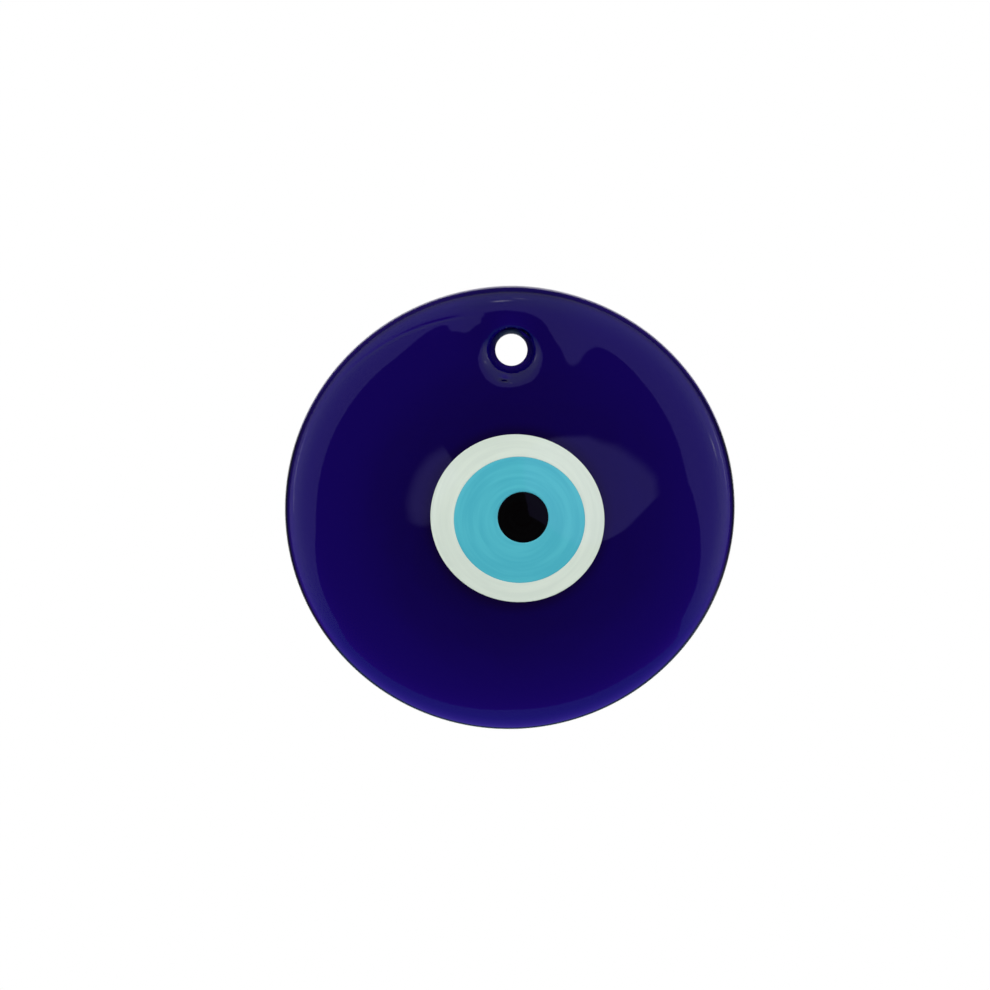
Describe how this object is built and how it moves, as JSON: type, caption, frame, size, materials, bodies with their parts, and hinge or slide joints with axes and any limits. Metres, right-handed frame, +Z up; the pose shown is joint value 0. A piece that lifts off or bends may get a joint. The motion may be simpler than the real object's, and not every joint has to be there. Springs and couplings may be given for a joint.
{
  "type": "evil eye ornament",
  "caption": "Round poured-glass wall ornament: a cobalt disc, mounded in the middle, with nested white, light blue and black glass dots forming an eye, and a flared hanging hole near the top.",
  "frame": {"origin": "on the axis of the hanging hole, in the plane of the flat back", "axes": "+Y out of the flat back along the hanging hole, so the eye faces -Y; +Z up as it hangs; +X to the right seen from the front"},
  "size_m": [0.09, 0.0092, 0.0888],
  "materials": {
    "cobalt_glass": "deep cobalt blue, clear, fire polished",
    "white_glass": "opaque, glossy, faintly green white",
    "light_blue_glass": "opaque, glossy",
    "black_glass": "opaque, glossy"
  },
  "bodies": {
    "root": {"glass_disc": "cobalt_glass", "white_dot": "white_glass", "light_blue_dot": "light_blue_glass", "pupil": "black_glass"}
  },
  "joints": []
}
